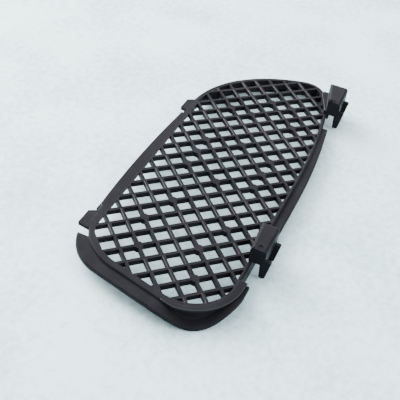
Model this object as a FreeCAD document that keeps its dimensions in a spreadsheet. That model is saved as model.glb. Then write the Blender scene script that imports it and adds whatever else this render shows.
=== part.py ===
import FreeCAD
import Part
import math
import os

from FreeCAD import Rotation, Vector

# Side grille of a scooter, moulded in one piece and lying with its back up.
# X runs along the grille, +Y towards the hooking tabs, and the sizes count z from the top of the lattice.

SIZES = {
    # square lattice, turned 45 degrees to the long axis
    "pitch": 9.0,
    "rib_width": 1.5,
    "rib_depth": 3.0,
    "smallest_opening": 2.0,
    "pad_diameter": 4.5,
    # outer edge: corners where the straight sides would meet, and their radii
    "near_left_x": -76.2,
    "near_left_y": 30.1,
    "near_left_radius": 25.5,
    "near_right_x": -97.2,
    "right_y": -55.5,
    "near_right_radius": 28.5,
    "bend_x": 51.0,
    "bend_radius": 522.0,
    "shoulder_x": 96.3,
    "shoulder_y": -49.3,
    "shoulder_radius": 81.0,
    "tip_x": 134.1,
    "tip_y": -33.2,
    "tip_radius": 12.6,
    "nose_x": 125.4,
    "nose_y": -6.6,
    "nose_radius": 82.0,
    "crown_x": 96.3,
    "crown_y": 30.3,
    "crown_radius": 63.0,
    # rim and skirt
    "rim_width_near": 3.5,
    "rim_width_left": 2.7,
    "rim_width_right": 1.6,
    "rim_width_far": 2.7,
    "rim_corner_radius": 31.5,
    "rim_round": 0.8,
    "skirt_wall": 2.0,
    "skirt_depth": 9.0,
    "facet_x": -82.8,
    "facet_y": -23.4,
    "facet_heading": 14.8,
    "facet_angle": 17.0,
    # flange outside the rim
    "flange_left": 1.7,
    "flange_near": 6.0,
    "flange_right": 4.5,
    "flange_far": 3.0,
    "flange_drop": 1.2,
    "flange_thick": 2.0,
    "flange_lip": 0.6,
    "flange_start_x": -63.2,
    "flange_end_x": 88.0,
    "left_flange_start_x": -43.0,
    "left_flange_end_x": 56.5,
    "dip_depth": 5.6,
    "dip_centre": 47.0,
    "dip_reach": 45.0,
    "dip_cove": 1.3,
    "dip_cove_end": 0.15,
    # snap blocks
    "near_block_x": -40.5,
    "near_block_y": -48.8,
    "near_block_turn": 0.0,
    "near_block_length": 20.5,
    "near_block_width": 8.0,
    "near_block_flare": 1.5,
    "far_block_x": 102.0,
    "far_block_y": -44.7,
    "far_block_turn": 2.0,
    "far_block_length": 22.5,
    "far_block_width": 7.2,
    "far_block_flare": 4.2,
    "block_height": 8.6,
    "block_round": 1.8,
    "block_notch": 14.5,
    "web_height": 2.5,
    "dimple_diameter": 2.4,
    "dimple_depth": 0.4,
    # fins under the snap blocks
    "fin_thick": 1.8,
    "fin_spacing": 13.5,
    "fin_depth": 7.8,
    "fin_top": 3.6,
    "fin_setback": 2.4,
    "fin_reach": 3.2,
    "fin_taper": 1.7,
    "fin_chamfer": 0.7,
    # hooking tabs
    "near_tab_x": -57.9,
    "far_tab_x": 59.3,
    "tab_width": 9.7,
    "tab_slant": 3.8,
    "tab_reach": 1.7,
    "tab_thick": 2.0,
}

# Rib crossings that carry an ejector pad, counted along the two rib directions.
PADS = [
    (6, -7), (7, -6), (9, -7), (10, -6), (9, -4), (3, -4), (2, -3), (1, -2), (5, -3), (6, -1), (5, 0),
    (4, 1), (2, 0), (-1, 1), (-3, 2), (-4, 4), (1, 4), (-1, 5), (-2, 7),
]

DIP_SECTIONS = 15
ROUND_STEPS = 3

doc = FreeCAD.newDocument("side_grille")
sheet = doc.addObject("Spreadsheet::Sheet", "sizes")
for row, (name, value) in enumerate(SIZES.items(), start=1):
    sheet.set(f"A{row}", name)
    sheet.set(f"B{row}", str(value))
    sheet.setAlias(f"B{row}", name)
doc.recompute()


def size(name):
    """The value of one cell of the sheet."""
    return float(sheet.get(name))


def shape_object(name, shape):
    """A document object that holds a shape made from the sheet's sizes."""
    item = doc.addObject("Part::Feature", name)
    item.Shape = shape
    return item


def extrusion(name, face, length, top="0", direction=Vector(0, 0, -1)):
    """A face extruded by a sheet formula, from the height that another formula gives."""
    item = doc.addObject("Part::Extrusion", name)
    item.Base = shape_object(name + "_face", face)
    item.DirMode = "Custom"
    item.Dir = direction
    item.Solid = True
    item.setExpression("LengthFwd", length)
    item.setExpression("Placement.Base.z", top)
    return item


def join(name, kind, pieces):
    """A boolean of several objects, such as Part::MultiFuse."""
    item = doc.addObject(kind, name)
    item.Shapes = pieces
    return item


def cut(name, base, tool):
    """One object with another taken away."""
    item = doc.addObject("Part::Cut", name)
    item.Base = base
    item.Tool = tool
    return item


def polygon_face(points):
    """A flat face with straight edges."""
    return Part.Face(Part.makePolygon(points + points[:1]))


def rectangle(x_min, x_max, y_min, y_max):
    """A flat rectangle at z = 0."""
    return polygon_face([
        Vector(x_min, y_min, 0), Vector(x_max, y_min, 0), Vector(x_max, y_max, 0), Vector(x_min, y_max, 0),
    ])


def unit(start, end):
    """The direction from one point to another."""
    return (end - start).normalize()


def corner_arc(before, corner, after, radius):
    """Start, middle, end and centre of the arc that rounds a corner."""
    back = unit(corner, before)
    ahead = unit(corner, after)
    half = back.getAngle(ahead) / 2
    reach = radius / math.tan(half)
    middle_line = (back + ahead).normalize()
    centre = corner + middle_line * (radius / math.sin(half))
    return corner + back * reach, centre - middle_line * radius, corner + ahead * reach, centre


def fitting(corners, radii):
    """The radii, reduced where two neighbouring arcs would take more than their side."""
    count = len(corners)
    reaches = []
    for i, radius in enumerate(radii):
        back = unit(corners[i], corners[i - 1])
        ahead = unit(corners[i], corners[(i + 1) % count])
        reaches.append(radius / math.tan(back.getAngle(ahead) / 2))
    shares = []
    for i in range(count):
        length = corners[i - 1].distanceToPoint(corners[i])
        shares.append(min(1, 0.99 * length / (reaches[i - 1] + reaches[i])))
    return [radius * min(shares[i], shares[(i + 1) % count]) for i, radius in enumerate(radii)]


def loop_face(corners, radii):
    """A face whose straight sides meet in rounded corners."""
    arcs = []
    for i, (corner, radius) in enumerate(zip(corners, fitting(corners, radii))):
        after = corners[(i + 1) % len(corners)]
        arcs.append(corner_arc(corners[i - 1], corner, after, radius))
    edges = []
    for i, (start, middle, end, _) in enumerate(arcs):
        edges.append(Part.Arc(start, middle, end).toShape())
        following = arcs[(i + 1) % len(arcs)][0]
        if end.distanceToPoint(following) > 1e-4:
            edges.append(Part.LineSegment(end, following).toShape())
    return Part.Face(Part.Wire(edges))


def inset(corners, amounts):
    """Corners of the loop whose side after each corner has moved inwards by its amount."""
    moved = []
    for i, corner in enumerate(corners):
        after = corners[(i + 1) % len(corners)]
        ahead = unit(corner, after)
        inward = Vector(-ahead.y, ahead.x, 0)
        moved.append((corner + inward * amounts[i], ahead))
    result = []
    for i, (point, ahead) in enumerate(moved):
        start, along = moved[i - 1]
        step = (point - start).cross(ahead).z / along.cross(ahead).z
        result.append(start + along * step)
    return result


def lattice_point(i, j):
    """Place of lattice step (i, j); whole numbers are opening centres."""
    step = size("pitch") / math.sqrt(2)
    return Vector((i - j) * step, -(i + j) * step, 0)


def openings(area):
    """The diamond openings, cut off where the given area ends."""
    reach = (size("pitch") - size("rib_width")) / math.sqrt(2)
    box = area.BoundBox
    box.enlarge(reach)
    count = int(max(box.XLength, box.YLength) / size("pitch")) + 2
    diamonds = []
    for i in range(-count, count + 1):
        for j in range(-count, count + 1):
            middle = lattice_point(i, j)
            if not box.isInside(middle):
                continue
            diamonds.append(polygon_face([
                middle + Vector(reach, 0, 0), middle + Vector(0, reach, 0),
                middle - Vector(reach, 0, 0), middle - Vector(0, reach, 0),
            ]))
    kept = area.common(Part.makeCompound(diamonds)).Faces
    return Part.makeCompound([face for face in kept if face.Area > size("smallest_opening")])


def quarter_round(middle, start, end):
    """Points of a quarter circle about its middle, between two offsets at right angles."""
    points = []
    for k in range(ROUND_STEPS + 1):
        angle = math.pi / 2 * k / ROUND_STEPS
        points.append(middle + start * math.cos(angle) + end * math.sin(angle))
    return points


def rounded_plate(name, base, outline, height, radius):
    """A flat extrusion whose top edges on the given outline are rounded."""
    doc.recompute()
    rounded = doc.addObject("Part::Fillet", name)
    rounded.Base = base
    edges = []
    for number, edge in enumerate(base.Shape.Edges, start=1):
        middle = edge.valueAt((edge.FirstParameter + edge.LastParameter) / 2)
        on_top = abs(edge.BoundBox.ZMin - height) < 1e-4 and edge.BoundBox.ZLength < 1e-4
        flat_middle = Part.Vertex(middle.x, middle.y, 0)
        if on_top and outline.distToShape(flat_middle)[0] < 1e-3:
            edges.append((number, radius, radius))
    rounded.Edges = edges
    return rounded


def dipped_corner(before, corner, after, rim):
    """The flange round the near corner, which dips along the arc and meets the rim's wall in a cove."""
    radius = size("near_right_radius")
    start, _, end, centre = corner_arc(before, corner, after, radius)
    first = math.atan2(start.y - centre.y, start.x - centre.x)
    sweep = (start - centre).getAngle(end - centre)
    lip = size("flange_lip")
    up = Vector(0, 0, 1)
    sections = []
    for k in range(DIP_SECTIONS):
        turned = sweep * k / (DIP_SECTIONS - 1)
        off_centre = min(abs(math.degrees(turned) - size("dip_centre")) / size("dip_reach"), 1)
        share = math.cos(off_centre * math.pi / 2) ** 2
        cove = size("dip_cove_end") + (size("dip_cove") - size("dip_cove_end")) * share
        level = up * (-size("flange_drop") - size("dip_depth") * share)
        outward = Vector(math.cos(first + turned), math.sin(first + turned), 0)
        outer = centre + outward * radius + level
        ray = Part.makeLine(centre, centre + outward * radius)
        wall = centre + outward * rim.common(ray).Length + level
        inner = wall - outward * (size("skirt_wall") / 2)
        down = up * -size("flange_thick")
        points = quarter_round(outer - (outward + up) * lip, outward * lip, up * lip)
        points += quarter_round(wall + (outward + up) * cove, up * -cove, outward * -cove)
        points += [inner + up * cove, inner + down, outer + down]
        sections.append(Part.makePolygon(points + points[:1]))
    return Part.makeLoft(sections, True, False, False, 3), start, end, centre


# Outer edge of the flange, anticlockwise from the near left corner.
outer_corners = [
    Vector(size("near_left_x"), size("near_left_y"), 0),
    Vector(size("near_right_x"), size("right_y"), 0),
    Vector(size("bend_x"), size("right_y"), 0),
    Vector(size("shoulder_x"), size("shoulder_y"), 0),
    Vector(size("tip_x"), size("tip_y"), 0),
    Vector(size("nose_x"), size("nose_y"), 0),
    Vector(size("crown_x"), size("crown_y"), 0),
]
corner_names = ["near_left", "near_right", "bend", "shoulder", "tip", "nose", "crown"]
outer_radii = [size(name + "_radius") for name in corner_names]
outer_face = loop_face(outer_corners, outer_radii)

# Outside of the rim, then the edge of the lattice, then the inside of the skirt.
flange_widths = [size("flange_near"), size("flange_right"), size("flange_far"), 0, 0, 0, size("flange_left")]
rim_corners = inset(outer_corners, flange_widths)
rim_radii = [size("rim_corner_radius"), size("near_right_radius") - size("flange_right")] + outer_radii[2:]
rim_face = loop_face(rim_corners, rim_radii)
rim_widths = [size("rim_width_near")] + [size("rim_width_right")] * 2
rim_widths += [size("rim_width_far")] * 3 + [size("rim_width_left")]
lattice_corners = inset(rim_corners, rim_widths)
lattice_face = loop_face(lattice_corners, [radius - size("rim_width_far") for radius in rim_radii])
skirt_corners = inset(rim_corners, [size("skirt_wall")] * len(rim_corners))
skirt_face = loop_face(skirt_corners, [radius - size("skirt_wall") for radius in rim_radii])
box = outer_face.BoundBox

# Lattice plate with its rim.
flat_plate = extrusion("flat_plate", rim_face, "sizes.rib_depth")
plate = rounded_plate("plate", flat_plate, rim_face.OuterWire, 0, size("rim_round"))
cells = extrusion("cells", openings(lattice_face), "sizes.rib_depth * 2", "sizes.rib_depth / 2")
lattice = cut("lattice", plate, cells)

# Skirt wall; a sloping facet takes it away towards the tab side.
skirt_ring = extrusion(
    "skirt_ring", rim_face.cut(skirt_face), "sizes.skirt_depth - sizes.rim_round", "-sizes.rim_round"
)
facet = doc.addObject("Part::Box", "facet")
facet.Length = box.XLength * 2
facet.Width = box.YLength * 2
facet.Height = box.YLength
turn = Rotation(Vector(0, 0, 1), size("facet_heading")) * Rotation(Vector(1, 0, 0), size("facet_angle"))
hinge = Vector(size("facet_x"), size("facet_y"), -size("skirt_depth"))
corner_offset = Vector(-box.XLength / 2, 0, -box.YLength)
facet.Placement = FreeCAD.Placement(hinge + turn.multVec(corner_offset), turn)
skirt = cut("skirt", skirt_ring, facet)

# Flange: flat along the near end and the right side, dipped round the near right corner.
dip_shape, dip_start, dip_end, dip_middle = dipped_corner(*outer_corners[:3], rim_face)
dip = shape_object("dip", dip_shape)
outward = unit(dip_middle, dip_start)
backward = unit(outer_corners[1], outer_corners[0])
near_zone = polygon_face([
    dip_middle,
    dip_middle + outward * box.XLength,
    dip_middle + outward * box.XLength + backward * box.YLength,
    dip_middle + backward * box.YLength,
]).common(rectangle(box.XMin, size("flange_start_x"), box.YMin, box.YMax))
notch_start = size("near_block_x") - size("block_notch")
notch_end = size("near_block_x") + size("near_block_length")
right_top = (size("right_y") + size("near_left_y")) / 2
right_zones = [
    rectangle(dip_end.x, notch_start, box.YMin, right_top),
    rectangle(notch_end, size("flange_end_x"), box.YMin, right_top),
]
left_zone = rectangle(size("left_flange_start_x"), size("left_flange_end_x"), right_top, box.YMax)
flange_band = outer_face.cut(lattice_face)
flange_top = -size("flange_drop")
flange_parts = []
for number, zone in enumerate([near_zone] + right_zones + [left_zone], start=1):
    name = f"flange_{number}"
    face = flange_band.common(zone)
    flat = extrusion(name + "_flat", face, "sizes.flange_thick", "-sizes.flange_drop")
    flange_parts.append(
        rounded_plate(name, flat, outer_face.OuterWire, flange_top, size("flange_lip"))
    )

# Ejector pads on rib crossings.
pads = []
for i, j in PADS:
    place = lattice_point(i - 0.5, j + 0.5)
    if not lattice_face.isInside(place, 1e-3, True):
        continue
    pad = doc.addObject("Part::Cylinder", "pad")
    pad.setExpression("Radius", "sizes.pad_diameter / 2")
    pad.setExpression("Height", "sizes.rib_depth")
    pad.Placement.Base = place
    pad.setExpression("Placement.Base.z", "-sizes.rib_depth")
    pads.append(pad)


def hooking_tab(name, start):
    """A flat tab on the left side, square at its near end and slanted at its far end."""
    root = size("near_left_y") - size("flange_left") - size("rim_width_left")
    tip = size("near_left_y") + size("tab_reach")
    return extrusion(name, polygon_face([
        Vector(start - 1, root, 0),
        Vector(start + size("tab_width") + size("tab_slant"), root, 0),
        Vector(start + size("tab_width"), tip, 0),
        Vector(start, tip, 0),
    ]).cut(lattice_face), "sizes.tab_thick")


def fin_face(x, width):
    """Profile of a hanging fin: wide at its ledge, narrower towards its foot."""
    ledge = width + size("fin_reach")
    root = width - size("fin_setback")
    taper = size("fin_taper")
    chamfer = size("fin_chamfer")
    profile = [
        (root, size("fin_top")),
        (root + taper / 2, -size("fin_depth")),
        (ledge - taper - chamfer, -size("fin_depth")),
        (ledge - taper, chamfer - size("fin_depth")),
        (ledge, size("fin_top") - chamfer),
        (ledge - chamfer, size("fin_top")),
    ]
    return polygon_face([Vector(x, -across, height) for across, height in profile])


def rounded_edges(shape):
    """Numbers and radius of the block edges that are rounded: the long top edges and the far outer ones."""
    middle = shape.BoundBox.Center
    edges = []
    for number, edge in enumerate(shape.Edges, start=1):
        offset = edge.CenterOfMass - middle
        upper = offset.z > 1e-3
        far = offset.x > 1e-3
        near = offset.x < -1e-3
        outside = offset.y < -1e-3
        if (upper and not near) or (far and outside):
            edges.append((number, size("block_round"), size("block_round")))
    return edges


def snap_block(name):
    """A block that stands on the rim, overhangs it outwards and carries two hanging fins."""
    length = size(name + "_length")
    width = size(name + "_width")
    footprint = polygon_face([
        Vector(0, 0, 0),
        Vector(0, -width, 0),
        Vector(length, -width, 0),
        Vector(length, size(name + "_flare"), 0),
    ])
    body = extrusion(name + "_body", footprint, "sizes.block_height", "sizes.block_height")
    doc.recompute()
    rounded = doc.addObject("Part::Fillet", name + "_rounded")
    rounded.Base = body
    rounded.Edges = rounded_edges(body.Shape)
    dimple = doc.addObject("Part::Cylinder", name + "_dimple")
    dimple.setExpression("Radius", "sizes.dimple_diameter / 2")
    dimple.setExpression("Height", "sizes.dimple_depth * 2")
    dimple.setExpression("Placement.Base.x", f"sizes.{name}_width / 3")
    dimple.setExpression("Placement.Base.y", f"-sizes.{name}_width / 2")
    dimple.setExpression("Placement.Base.z", "sizes.block_height - sizes.dimple_depth")
    parts = [cut(name + "_top", rounded, dimple)]
    for number in range(2):
        face = fin_face(number * size("fin_spacing"), width)
        parts.append(extrusion(f"{name}_fin_{number}", face, "sizes.fin_thick", "0", Vector(1, 0, 0)))
    block = join(name, "Part::MultiFuse", parts)
    block.Placement.Rotation = Rotation(Vector(0, 0, 1), size(name + "_turn"))
    block.setExpression("Placement.Base.x", f"sizes.{name}_x")
    block.setExpression("Placement.Base.y", f"sizes.{name}_y")
    return block


def block_web(name):
    """The thick foot between a snap block and the edge of the lattice."""
    turn = Rotation(Vector(0, 0, 1), size(name + "_turn"))
    corner = Vector(size(name + "_x"), size(name + "_y"), 0)
    length = size(name + "_length") - size("block_round")
    width = size(name + "_width")
    footprint = [(0, -size("block_round")), (length, -size("block_round")), (length, width), (0, width)]
    zone = polygon_face([corner + turn.multVec(Vector(along, across, 0)) for along, across in footprint])
    return extrusion(
        name + "_web", zone.cut(lattice_face), "sizes.web_height + sizes.rib_depth", "sizes.web_height"
    )


pieces = [lattice, skirt, dip] + flange_parts + pads
pieces.append(hooking_tab("near_tab", size("near_tab_x")))
pieces.append(hooking_tab("far_tab", size("far_tab_x")))
for name in ["near_block", "far_block"]:
    pieces += [snap_block(name), block_web(name)]

grille = join("grille", "Part::MultiFuse", pieces)
grille.Label = "side_grille"
doc.recompute()

# The origin is under the middle of the whole grille, on the surface that it lies on.
whole = grille.Shape.optimalBoundingBox()
grille.Placement.Base = Vector(-whole.Center.x, -whole.Center.y, -whole.ZMin)
doc.recompute()

for item in doc.Objects:
    if "Invalid" in item.State or "Error" in item.State:
        raise RuntimeError(f"{item.Label} failed")
shape = grille.Shape
if shape.isNull() or not shape.isValid() or len(shape.Solids) != 1:
    raise RuntimeError(f"the grille is not one valid solid: {len(shape.Solids)} solids")

os.makedirs("parts", exist_ok=True)
shape.Solids[0].exportStep(f"parts/{grille.Label}.step")
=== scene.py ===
"""Side grille of a scooter, moulded in black plastic, lying back up on a pale table."""

import logging
import math
from collections.abc import Iterator
from dataclasses import dataclass
from enum import Enum
from typing import Any

import bpy
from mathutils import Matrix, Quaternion, Vector


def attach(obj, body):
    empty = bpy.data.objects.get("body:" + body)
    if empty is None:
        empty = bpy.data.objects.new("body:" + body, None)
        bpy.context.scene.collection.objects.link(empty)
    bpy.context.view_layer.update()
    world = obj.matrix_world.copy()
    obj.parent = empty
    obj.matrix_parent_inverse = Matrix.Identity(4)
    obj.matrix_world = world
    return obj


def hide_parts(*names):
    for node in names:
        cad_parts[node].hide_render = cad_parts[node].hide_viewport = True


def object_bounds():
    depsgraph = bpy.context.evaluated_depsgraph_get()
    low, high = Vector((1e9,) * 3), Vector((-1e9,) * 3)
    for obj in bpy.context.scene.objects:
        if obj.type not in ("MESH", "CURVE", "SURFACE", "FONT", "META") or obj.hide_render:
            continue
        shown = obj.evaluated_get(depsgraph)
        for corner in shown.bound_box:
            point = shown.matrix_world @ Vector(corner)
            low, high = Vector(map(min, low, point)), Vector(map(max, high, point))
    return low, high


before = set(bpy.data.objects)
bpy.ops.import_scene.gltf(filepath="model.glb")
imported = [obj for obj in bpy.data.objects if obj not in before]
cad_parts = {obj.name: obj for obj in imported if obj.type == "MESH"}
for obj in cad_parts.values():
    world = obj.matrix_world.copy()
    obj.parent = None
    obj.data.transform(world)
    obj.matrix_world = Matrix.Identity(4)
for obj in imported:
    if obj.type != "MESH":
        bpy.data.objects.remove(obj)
cad_low, cad_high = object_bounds()

LOG = logging.getLogger("side_grille")
MM = 0.001
BODY = "root"
NODE = "side_grille"

# The colour sockets of a Mix node share their names with its number sockets, so they go by place.
MIX_FIRST = 6
MIX_SECOND = 7
MIX_RESULT = 2
# How far large faces outweigh small ones in the shading of a corner: 50 is even, 100 is the most.
LARGE_FACE_WEIGHT = 100
# A new grid of size 1 runs from -0.5 to 0.5.
GRID_HALF = 0.5

Pair = tuple[float, float]
Sockets = dict[str | int, Any]


class Region(Enum):
    """Material slots of each piece."""

    FACES = 0
    EDGES = 1


Finishes = dict[Region, bpy.types.Material]


def linear(hex_colour: str) -> tuple[float, float, float, float]:
    """Turns an sRGB hex colour into linear RGBA.

    Args:
        hex_colour: A colour such as "#1a1b1d".

    Returns:
        Red, green, blue and an alpha of 1, all linear.
    """
    channels = []
    for start in (1, 3, 5):
        value = int(hex_colour[start:start + 2], 16) / 255
        # The sRGB curve has a straight foot and goes on as a power.
        channels.append(value / 12.92 if value <= 0.04045 else ((value + 0.055) / 1.055) ** 2.4)
    return channels[0], channels[1], channels[2], 1.0


def direction(azimuth_deg: float, elevation_deg: float) -> Vector:
    """Works out a direction from the part.

    Args:
        azimuth_deg: Angle from +X towards +Y.
        elevation_deg: Angle above the table.

    Returns:
        The direction, of length 1.
    """
    turn = math.radians(azimuth_deg)
    rise = math.radians(elevation_deg)
    return Vector((math.cos(turn) * math.cos(rise), math.sin(turn) * math.cos(rise), math.sin(rise)))


def add_node(
    tree: bpy.types.NodeTree, kind: str, sockets: Sockets | None = None, **settings: Any
) -> bpy.types.Node:
    """Adds a node with its settings, socket values and links.

    Args:
        tree: The node tree that gets the node.
        kind: The node's type, such as "ShaderNodeBump".
        sockets: Input names or numbers, each with a plain value or with the output that feeds it.
        settings: Properties of the node itself.

    Returns:
        The new node.
    """
    node = tree.nodes.new(kind)
    for name, value in settings.items():
        setattr(node, name, value)
    for socket, value in (sockets or {}).items():
        if isinstance(value, bpy.types.NodeSocket):
            tree.links.new(value, node.inputs[socket])
        else:
            node.inputs[socket].default_value = value
    return node


def add_range(
    tree: bpy.types.NodeTree, value: bpy.types.NodeSocket, source: Pair, target: Pair = (0.0, 1.0),
    **settings: Any,
) -> bpy.types.NodeSocket:
    """Maps one range of values to another.

    Args:
        tree: The node tree.
        value: The output that gives the values.
        source: The low and the high value that come in.
        target: What these two become.
        settings: Properties of the node itself.

    Returns:
        The output with the mapped values.
    """
    sockets: Sockets = {"Value": value}
    sockets.update(zip(("From Min", "From Max", "To Min", "To Max"), source + target))
    return add_node(tree, "ShaderNodeMapRange", sockets, **settings).outputs[0]


def add_blend(
    tree: bpy.types.NodeTree, share: bpy.types.NodeSocket, first: str, second: str
) -> bpy.types.NodeSocket:
    """Blends two colours.

    Args:
        tree: The node tree.
        share: The output that gives the second colour's share.
        first: An sRGB hex colour.
        second: Another one.

    Returns:
        The output with the blended colour.
    """
    colours = {MIX_FIRST: linear(first), MIX_SECOND: linear(second)}
    blend = add_node(tree, "ShaderNodeMix", {"Factor": share, **colours}, data_type="RGBA")
    return blend.outputs[MIX_RESULT]


@dataclass(frozen=True)
class Noise:
    """A cloudy pattern with spots of one size."""

    size_mm: float
    detail: float
    roughness: float

    def add(self, tree: bpy.types.NodeTree, place: bpy.types.NodeSocket) -> bpy.types.NodeSocket:
        """Adds the pattern to a material.

        Args:
            tree: The material's node tree.
            place: The output that gives the place on the object.

        Returns:
            The output with the pattern's values.
        """
        sockets = {"Scale": 1 / (self.size_mm * MM), "Detail": self.detail, "Roughness": self.roughness}
        return add_node(tree, "ShaderNodeTexNoise", {"Vector": place, **sockets}).outputs[0]


def new_material(name: str) -> tuple[bpy.types.Material, bpy.types.NodeTree, bpy.types.NodeSocket]:
    """Makes a material that has no surface yet.

    Args:
        name: The material's name.

    Returns:
        The material, its node tree and the output that gives the place on the object.
    """
    material = bpy.data.materials.new(name)
    material.use_nodes = True
    tree = material.node_tree
    tree.nodes.clear()
    return material, tree, add_node(tree, "ShaderNodeTexCoord").outputs["Object"]


def add_surface(tree: bpy.types.NodeTree, sockets: Sockets) -> None:
    """Gives a material its surface.

    Args:
        tree: The material's node tree.
        sockets: Inputs of the Principled shader.
    """
    shader = add_node(tree, "ShaderNodeBsdfPrincipled", sockets)
    add_node(tree, "ShaderNodeOutputMaterial", {"Surface": shader.outputs["BSDF"]})


@dataclass(frozen=True)
class MouldedPolypropylene:
    """Black polypropylene from a spark-eroded mould: satin, slightly grey where handling has dusted it.

    The grain of the mould breaks up the gloss, and soft patches of dust lift the black a little.
    """

    name: str = "black_polypropylene_moulded"
    black: str = "#19191c"
    dusted: str = "#232327"
    roughness: Pair = (0.32, 0.46)
    refraction: float = 1.49
    specular: float = 0.02
    # A real mould grain is near 0.1 mm; it is drawn at 0.6 mm so that it shows in the render.
    grain: Noise = Noise(size_mm=0.6, detail=3.0, roughness=0.6)
    grain_height_mm: float = 0.012
    grain_strength: float = 0.6
    patches: Noise = Noise(size_mm=26.0, detail=4.0, roughness=0.55)
    patch_range: Pair = (0.42, 0.68)
    patch_dust: Pair = (0.0, 0.55)
    scuffs: Noise = Noise(size_mm=5.0, detail=5.0, roughness=0.7)
    scuff_range: Pair = (0.5, 0.75)
    scuff_dust: Pair = (0.0, 0.45)
    sheen_range: Pair = (0.3, 0.7)

    def make(self) -> bpy.types.Material:
        """Builds the node material.

        Returns:
            The finished material.
        """
        material, tree, place = new_material(self.name)
        scuffs = self.scuffs.add(tree, place)
        dust = add_range(tree, self.patches.add(tree, place), self.patch_range, self.patch_dust)
        specks = add_range(tree, scuffs, self.scuff_range, self.scuff_dust)
        veil = add_node(tree, "ShaderNodeMath", {0: dust, 1: specks}, operation="ADD", use_clamp=True)
        height = {"Height": self.grain.add(tree, place), "Distance": self.grain_height_mm * MM}
        bump = add_node(tree, "ShaderNodeBump", {"Strength": self.grain_strength, **height})
        add_surface(tree, {
            "Base Color": add_blend(tree, veil.outputs[0], self.black, self.dusted),
            "Roughness": add_range(tree, scuffs, self.sheen_range, self.roughness),
            "Normal": bump.outputs[0],
            "IOR": self.refraction,
            "Specular IOR Level": self.specular,
        })
        return material


@dataclass(frozen=True)
class EdgeHighlightPolypropylene(MouldedPolypropylene):
    """The same plastic on the rounded edges, smoother and glossier, with its black painted lighter there
    as a thin painted highlight along each edge.
    """

    name: str = "black_polypropylene_painted_edge_highlight"
    # Lighter than the faces' black: a painted highlight on the rounded edges.
    black: str = "#212124"
    roughness: Pair = (0.26, 0.4)
    specular: float = 0.2


@dataclass(frozen=True)
class PaintedTable:
    """White painted table top, cool and matt, with faint clouds and a fine mottle of wear and dust."""

    name: str = "white_painted_table"
    light: str = "#d3f1f7"
    shade: str = "#a2c5ce"
    roughness: float = 0.6
    clouds: Noise = Noise(size_mm=60.0, detail=3.0, roughness=0.5)
    mottle: Noise = Noise(size_mm=4.0, detail=6.0, roughness=0.7)
    mottle_share: float = 0.55
    wear_range: Pair = (0.34, 0.54)

    def make(self) -> bpy.types.Material:
        """Builds the node material.

        Returns:
            The finished material.
        """
        material, tree, place = new_material(self.name)
        patterns = {
            "Factor": self.mottle_share,
            "A": self.clouds.add(tree, place),
            "B": self.mottle.add(tree, place),
        }
        both = add_node(tree, "ShaderNodeMix", patterns, data_type="FLOAT")
        worn = add_range(tree, both.outputs[0], self.wear_range)
        colour = add_blend(tree, worn, self.shade, self.light)
        add_surface(tree, {"Base Color": colour, "Roughness": self.roughness})
        return material


def dress(piece: bpy.types.Object, finishes: Finishes) -> None:
    """Gives a piece its finishes, in the order of Region.

    Args:
        piece: The mesh object.
        finishes: The materials of the faces and of the rounded edges, whose black is painted lighter as a
            highlight.
    """
    piece.data.materials.clear()
    for region in Region:
        piece.data.materials.append(finishes[region])


def add_radius(piece: bpy.types.Object, radius_mm: float, steps: int, **settings: Any) -> None:
    """Rounds edges of a piece with faces that take the edge finish.

    Args:
        piece: The mesh object, active and selected.
        radius_mm: Width of the rounding.
        steps: Faces across the rounding.
        settings: Other settings of the Bevel modifier, such as the edges it takes.
    """
    bevel = piece.modifiers.new("mould_radius", "BEVEL")
    bevel.width = radius_mm * MM
    bevel.segments = steps
    bevel.material = Region.EDGES.value
    for name, value in settings.items():
        setattr(bevel, name, value)
    bpy.ops.object.modifier_apply(modifier=bevel.name)


def keep_flats_flat(piece: bpy.types.Object, smooth_deg: float) -> None:
    """Smooths the shading, weighted by area so that it turns on the rounded edges only.

    Args:
        piece: The mesh object, active and selected.
        smooth_deg: Steepest edge that is smoothed.
    """
    bpy.ops.object.shade_smooth_by_angle(angle=math.radians(smooth_deg))
    weighted = piece.modifiers.new("flat_faces", "WEIGHTED_NORMAL")
    weighted.mode = "FACE_AREA"
    weighted.weight = LARGE_FACE_WEIGHT
    weighted.keep_sharp = True
    bpy.ops.object.modifier_apply(modifier=weighted.name)


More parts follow.
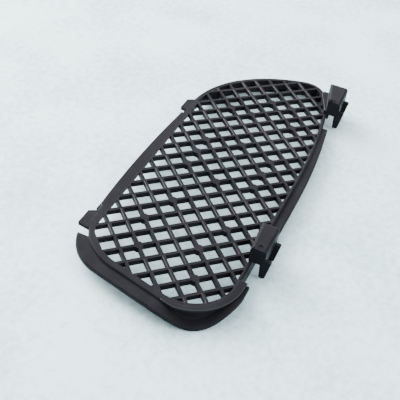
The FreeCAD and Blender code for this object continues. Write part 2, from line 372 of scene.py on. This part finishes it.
@dataclass
class Moulding:
    """The whole grille: the solid's faces, with the small radii that a mould leaves on its edges."""

    name: str = "grille_moulding"
    # The lattice: its pitch, the middle of one opening, and the heights of its top and its underside.
    pitch_mm: float = 9.0
    opening_mm: Pair = (-20.89, 14.1)
    lattice_levels_mm: Pair = (9.0, 6.0)
    level_mm: float = 0.01
    merge_mm: float = 0.02
    flat_deg: float = 0.4
    sharp_deg: float = 50.0
    smooth_deg: float = 40.0
    edge_radius_mm: float = 0.25
    edge_room_mm: float = 0.6
    edge_steps: int = 2
    # Nearer than this, only the lattice's edges are rounded.
    near_flange_mm: float = -61.5

    def build(self, finishes: Finishes) -> bpy.types.Object:
        """Copies the solid, joins its faces and rounds its edges.

        Args:
            finishes: The materials of the faces and of the rounded edges, whose black is painted lighter
                as a highlight.

        Returns:
            The finished piece, riding on the part's body.
        """
        piece = bpy.data.objects.new(self.name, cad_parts[NODE].data.copy())
        piece.data.name = self.name
        bpy.context.scene.collection.objects.link(piece)
        bpy.ops.object.select_all(action="DESELECT")
        piece.select_set(True)
        bpy.context.view_layer.objects.active = piece
        self.merge_triangles()
        self.cut_between_crossings()
        self.join_faces()
        dress(piece, finishes)
        self.round_edges(piece)
        keep_flats_flat(piece, self.smooth_deg)
        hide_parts(NODE)
        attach(piece, BODY)
        return piece

    def merge_triangles(self) -> None:
        """Merges the corners of the loose triangles."""
        bpy.ops.object.mode_set(mode="EDIT")
        bpy.ops.mesh.select_all(action="SELECT")
        bpy.ops.mesh.remove_doubles(threshold=self.merge_mm * MM)
        bpy.ops.object.mode_set(mode="OBJECT")

    def cut_between_crossings(self) -> None:
        """Cuts the lattice through its openings, so that no face runs round one, and marks the cuts."""
        middle = Vector((*self.opening_mm, 0)) * MM
        reach = (cad_high - cad_low).length
        count = math.ceil(reach / (self.pitch_mm * MM))
        bpy.ops.object.mode_set(mode="EDIT")
        for across in (Vector((1, 1, 0)).normalized(), Vector((1, -1, 0)).normalized()):
            for step in range(-count, count + 1):
                place = middle + across * (step * self.pitch_mm * MM)
                bpy.ops.mesh.select_all(action="SELECT")
                bpy.ops.mesh.bisect(plane_co=place, plane_no=across)
                bpy.ops.mesh.mark_seam(clear=False)
        bpy.ops.object.mode_set(mode="OBJECT")

    def join_faces(self) -> None:
        """Joins the faces that lie in one plane, up to the cuts."""
        bpy.ops.object.mode_set(mode="EDIT")
        bpy.ops.mesh.select_all(action="SELECT")
        bpy.ops.mesh.dissolve_limited(angle_limit=math.radians(self.flat_deg), delimit={"SEAM"})
        bpy.ops.object.mode_set(mode="OBJECT")

    def round_edges(self, piece: bpy.types.Object) -> None:
        """Gives the sharp edges a small radius, where there is room for it.

        Args:
            piece: The grille's mesh object.
        """
        bpy.ops.object.mode_set(mode="EDIT")
        bpy.ops.mesh.select_mode(type="EDGE")
        bpy.ops.mesh.select_all(action="DESELECT")
        bpy.ops.mesh.edges_select_sharp(sharpness=math.radians(self.sharp_deg))
        bpy.ops.object.mode_set(mode="OBJECT")
        chosen = self.edges_with_room(piece.data)
        weights = piece.data.attributes.new("bevel_weight_edge", "FLOAT", "EDGE")
        for number in chosen:
            weights.data[number].value = 1.0
        add_radius(
            piece, self.edge_radius_mm, self.edge_steps, limit_method="WEIGHT", use_clamp_overlap=False
        )

    def edges_with_room(self, mesh: bpy.types.Mesh) -> set[int]:
        """Finds the selected edges that have room for the radius.

        An opening of the lattice is rounded as a whole or not at all.

        Args:
            mesh: The grille's mesh, with its sharp edges selected.

        Returns:
            The numbers of the edges to round.
        """
        tight = self.tight_corners(mesh)
        chosen: set[int] = set()
        openings: dict[int, list[bpy.types.MeshEdge]] = {}
        for edge in mesh.edges:
            if not edge.select:
                continue
            ends = [mesh.vertices[corner].co for corner in edge.vertices]
            if all(self.on_lattice(end) for end in ends):
                for corner in edge.vertices:
                    openings.setdefault(corner, []).append(edge)
            elif min(end.x for end in ends) > self.near_flange_mm * MM:
                if not tight.intersection(edge.vertices):
                    chosen.add(edge.index)
        for loop in self.loops(openings):
            if not tight.intersection(loop):
                chosen.update(edge.index for corner in loop for edge in openings[corner])
        return chosen

    def on_lattice(self, point: Vector) -> bool:
        """Tells whether a point is level with the lattice's top or underside."""
        return any(abs(point.z / MM - level) < self.level_mm for level in self.lattice_levels_mm)

    def tight_corners(self, mesh: bpy.types.Mesh) -> set[int]:
        """Finds the corners at which an edge is too short for the radius.

        Args:
            mesh: The grille's mesh.

        Returns:
            The numbers of these corners.
        """
        tight: set[int] = set()
        for edge in mesh.edges:
            start, end = (mesh.vertices[corner].co for corner in edge.vertices)
            if (start - end).length < self.edge_room_mm * MM:
                tight.update(edge.vertices)
        return tight

    def loops(self, openings: dict[int, list[bpy.types.MeshEdge]]) -> Iterator[list[int]]:
        """Follows the lattice's edges round each opening.

        Args:
            openings: The corners of all openings, each with its edges.

        Yields:
            The corners of one opening.
        """
        seen: set[int] = set()
        for first in openings:
            loop = []
            waiting = [first]
            while waiting:
                corner = waiting.pop()
                if corner not in seen:
                    seen.add(corner)
                    loop.append(corner)
                    waiting += [other for edge in openings[corner] for other in edge.vertices]
            yield loop


@dataclass
class FlatBand:
    """A flat strip of the rim with a small radius on its edges; each kind says where these run."""

    name: str
    columns: int = 125
    top_mm: float = 9.03
    thickness_mm: float = 1.3
    edge_radius_mm: float = 0.3
    edge_steps: int = 2
    sharp_deg: float = 50.0
    smooth_deg: float = 40.0

    def edges(self, share: float) -> tuple[Pair, Pair]:
        """Gives the strip's two edges at one place.

        Args:
            share: Place along the strip, from 0 to 1.

        Returns:
            The right and the left edge as seen along the strip, each along and across the part in mm.
        """
        raise NotImplementedError

    def build(self, finishes: Finishes) -> bpy.types.Object:
        """Makes the strip from a flat grid that follows both of its edges.

        Args:
            finishes: The materials of the faces and of the rounded edges, whose black is painted lighter
                as a highlight.

        Returns:
            The finished piece, riding on the part's body.
        """
        bpy.ops.object.select_all(action="DESELECT")
        bpy.ops.mesh.primitive_grid_add(x_subdivisions=self.columns, y_subdivisions=1, size=2 * GRID_HALF)
        piece = bpy.context.object
        piece.name = self.name
        piece.data.name = self.name
        for point in piece.data.vertices:
            right, left = self.edges(point.co.x + GRID_HALF)
            point.co = Vector((*(left if point.co.y > 0 else right), self.top_mm)) * MM
        dress(piece, finishes)
        body = piece.modifiers.new("band_body", "SOLIDIFY")
        body.thickness = self.thickness_mm * MM
        body.offset = -1
        bpy.ops.object.modifier_apply(modifier=body.name)
        sharp = math.radians(self.sharp_deg)
        add_radius(piece, self.edge_radius_mm, self.edge_steps, limit_method="ANGLE", angle_limit=sharp)
        keep_flats_flat(piece, self.smooth_deg)
        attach(piece, BODY)
        return piece


@dataclass
class TabSideBand(FlatBand):
    """The strip on the tab side, which closes the cut-off openings and bows out between the two tabs."""

    name: str = "tab_side_band"
    near_end_mm: float = -75.0
    far_end_mm: float = 50.0
    lip_near_mm: float = -63.0
    lip_far_mm: float = 34.0
    lip_round_mm: float = 1.6
    inner_near_mm: float = 37.6
    inner_far_mm: float = 39.2
    rim_mm: float = 41.5
    crest_mm: float = 44.9
    bow_mm: float = 1.6

    def edges(self, share: float) -> tuple[Pair, Pair]:
        """Gives the strip's edge at the lattice and its outer edge.

        Args:
            share: Place along the strip, from 0 to 1.

        Returns:
            The inner and the outer edge, each along and across the part, in millimetres.
        """
        along = self.near_end_mm + (self.far_end_mm - self.near_end_mm) * share
        inner = self.inner_near_mm + (self.inner_far_mm - self.inner_near_mm) * share
        middle = (self.lip_near_mm + self.lip_far_mm) / 2
        half = (self.lip_far_mm - self.lip_near_mm) / 2
        from_end = half - abs(along - middle)
        lip = self.crest_mm - self.bow_mm * ((along - middle) / half) ** 2
        # The lip starts and ends in a quarter of an ellipse.
        to_full = 1 - min(max(from_end / self.lip_round_mm, 0), 1)
        outer = self.rim_mm + (lip - self.rim_mm) * math.sqrt(1 - to_full ** 2)
        return (along, inner), (along, outer)


@dataclass
class CornerBand(FlatBand):
    """The strip that widens the rim over the dipped corner, from nothing to its full reach."""

    name: str = "dip_corner_band"
    columns: int = 60
    centre_mm: Pair = (-80.21, -12.91)
    radius_mm: float = 23.98
    start_deg: float = 172.0
    end_deg: float = 270.0
    straight_mm: float = 5.0
    overlap_mm: float = 1.2
    start_reach_mm: float = 1.0
    end_reach_mm: float = 3.2
    taper_share: float = 0.15

    def edges(self, share: float) -> tuple[Pair, Pair]:
        """Gives the strip's outer edge and its edge on the rim, round the corner and then straight.

        Args:
            share: Place along the strip, from 0 to 1.

        Returns:
            The outer and the inner edge, each along and across the part, in millimetres.
        """
        arc = self.radius_mm * math.radians(self.end_deg - self.start_deg)
        run = (arc + self.straight_mm) * share
        turn = math.radians(self.start_deg) + min(run, arc) / self.radius_mm
        beyond = max(run - arc, 0)
        reach = self.start_reach_mm + (self.end_reach_mm - self.start_reach_mm) * share
        reach *= min(share / self.taper_share, 1)
        along, across = self.centre_mm
        outer, inner = (
            (along + distance * math.cos(turn) + beyond, across + distance * math.sin(turn))
            for distance in (self.radius_mm + reach, self.radius_mm - self.overlap_mm)
        )
        return outer, inner


def set_up(thing: bpy.types.Object, place: Vector, back: Vector, roll_deg: float = 0.0) -> None:
    """Puts a lamp or camera at its place, looking the way it should.

    Args:
        thing: The lamp or camera.
        place: Where it stands.
        back: The direction straight behind it.
        roll_deg: Its turn about its own axis.
    """
    thing.location = place
    thing.rotation_mode = "QUATERNION"
    roll = Quaternion((0, 0, 1), math.radians(roll_deg))
    thing.rotation_quaternion = (-back).to_track_quat("-Z", "Y") @ roll
    bpy.context.scene.collection.objects.link(thing)


@dataclass(frozen=True)
class Lamp:
    """A wide soft lamp that is aimed at the part."""

    name: str
    azimuth_deg: float
    elevation_deg: float
    power_w: float
    size_m: float = 0.9
    distance_m: float = 1.3

    def build(self) -> None:
        """Hangs the lamp above the table."""
        data = bpy.data.lights.new(self.name, "AREA")
        data.shape = "DISK"
        data.size = self.size_m
        data.energy = self.power_w
        back = direction(self.azimuth_deg, self.elevation_deg)
        set_up(bpy.data.objects.new(self.name, data), back * self.distance_m, back)


@dataclass
class Studio:
    """Pale table top in a room with one bright side, with a soft lamp beyond each long side."""

    floor_m: float = 6.0
    room_colour: str = "#f3f4f6"
    # Strength of the room's light on its dim and on its bright side.
    strength: Pair = (1.05, 5.0)
    bright_azimuth_deg: float = 62.0
    bright_elevation_deg: float = 22.0
    # Cosines of the angles from the bright side at which the light starts and stops growing.
    bright_range: Pair = (0.1, 0.95)
    lamps: tuple[Lamp, ...] = (
        Lamp("tab_side_lamp", azimuth_deg=66.0, elevation_deg=27.0, power_w=60.0),
        Lamp("block_side_lamp", azimuth_deg=-95.0, elevation_deg=36.0, power_w=14.0),
    )

    def build(self) -> None:
        """Makes the floor, the room light and the lamps."""
        self.floor()
        self.room()
        for lamp in self.lamps:
            lamp.build()

    def floor(self) -> None:
        """Lays the table top under the part."""
        bpy.ops.object.select_all(action="DESELECT")
        bpy.ops.mesh.primitive_plane_add(size=self.floor_m, location=(0, 0, cad_low.z))
        table = bpy.context.object
        table.name = "table_top"
        table.data.materials.append(PaintedTable().make())

    def room(self) -> None:
        """Sets the light of the room, which grows towards its bright side."""
        world = bpy.data.worlds.new("room")
        world.use_nodes = True
        tree = world.node_tree
        tree.nodes.clear()
        bright = direction(self.bright_azimuth_deg, self.bright_elevation_deg)
        towards = add_node(tree, "ShaderNodeTexCoord").outputs["Generated"]
        facing = add_node(tree, "ShaderNodeVectorMath", {0: towards, 1: bright}, operation="DOT_PRODUCT")
        strength = add_range(
            tree, facing.outputs["Value"], self.bright_range, self.strength,
            interpolation_type="SMOOTHSTEP",
        )
        light = {"Color": linear(self.room_colour), "Strength": strength}
        background = add_node(tree, "ShaderNodeBackground", light)
        add_node(tree, "ShaderNodeOutputWorld", {"Surface": background.outputs[0]})
        bpy.context.scene.world = world


@dataclass
class PhotoCamera:
    """Camera at the photograph's place: low over the blunt end, turned a little about its own axis."""

    name: str = "photo_camera"
    aim_mm: tuple[float, float, float] = (-33.1, 2.25, 9.0)
    distance_mm: float = 400.9
    azimuth_deg: float = -162.23
    elevation_deg: float = 39.59
    roll_deg: float = 9.16
    focal_mm: float = 71.55
    sensor_mm: float = 36.0
    clip_m: Pair = (0.01, 20.0)

    def build(self) -> None:
        """Makes the camera and gives it to the scene."""
        data = bpy.data.cameras.new(self.name)
        data.lens = self.focal_mm
        data.sensor_width = self.sensor_mm
        data.clip_start, data.clip_end = self.clip_m
        camera = bpy.data.objects.new(self.name, data)
        back = direction(self.azimuth_deg, self.elevation_deg)
        set_up(camera, (Vector(self.aim_mm) + back * self.distance_mm) * MM, back, self.roll_deg)
        bpy.context.scene.camera = camera


def main() -> None:
    """Builds the part and its surroundings in order."""
    logging.basicConfig(level=logging.INFO, format="%(name)s: %(message)s")
    finishes = {
        Region.FACES: MouldedPolypropylene().make(),
        # The rounded edges get the black painted lighter, as a painted highlight.
        Region.EDGES: EdgeHighlightPolypropylene().make(),
    }
    for part in (Moulding(), TabSideBand(), CornerBand()):
        piece = part.build(finishes)
        LOG.info("%s has %d faces", piece.name, len(piece.data.polygons))
    Studio().build()
    PhotoCamera().build()


if __name__ == "__main__":
    main()
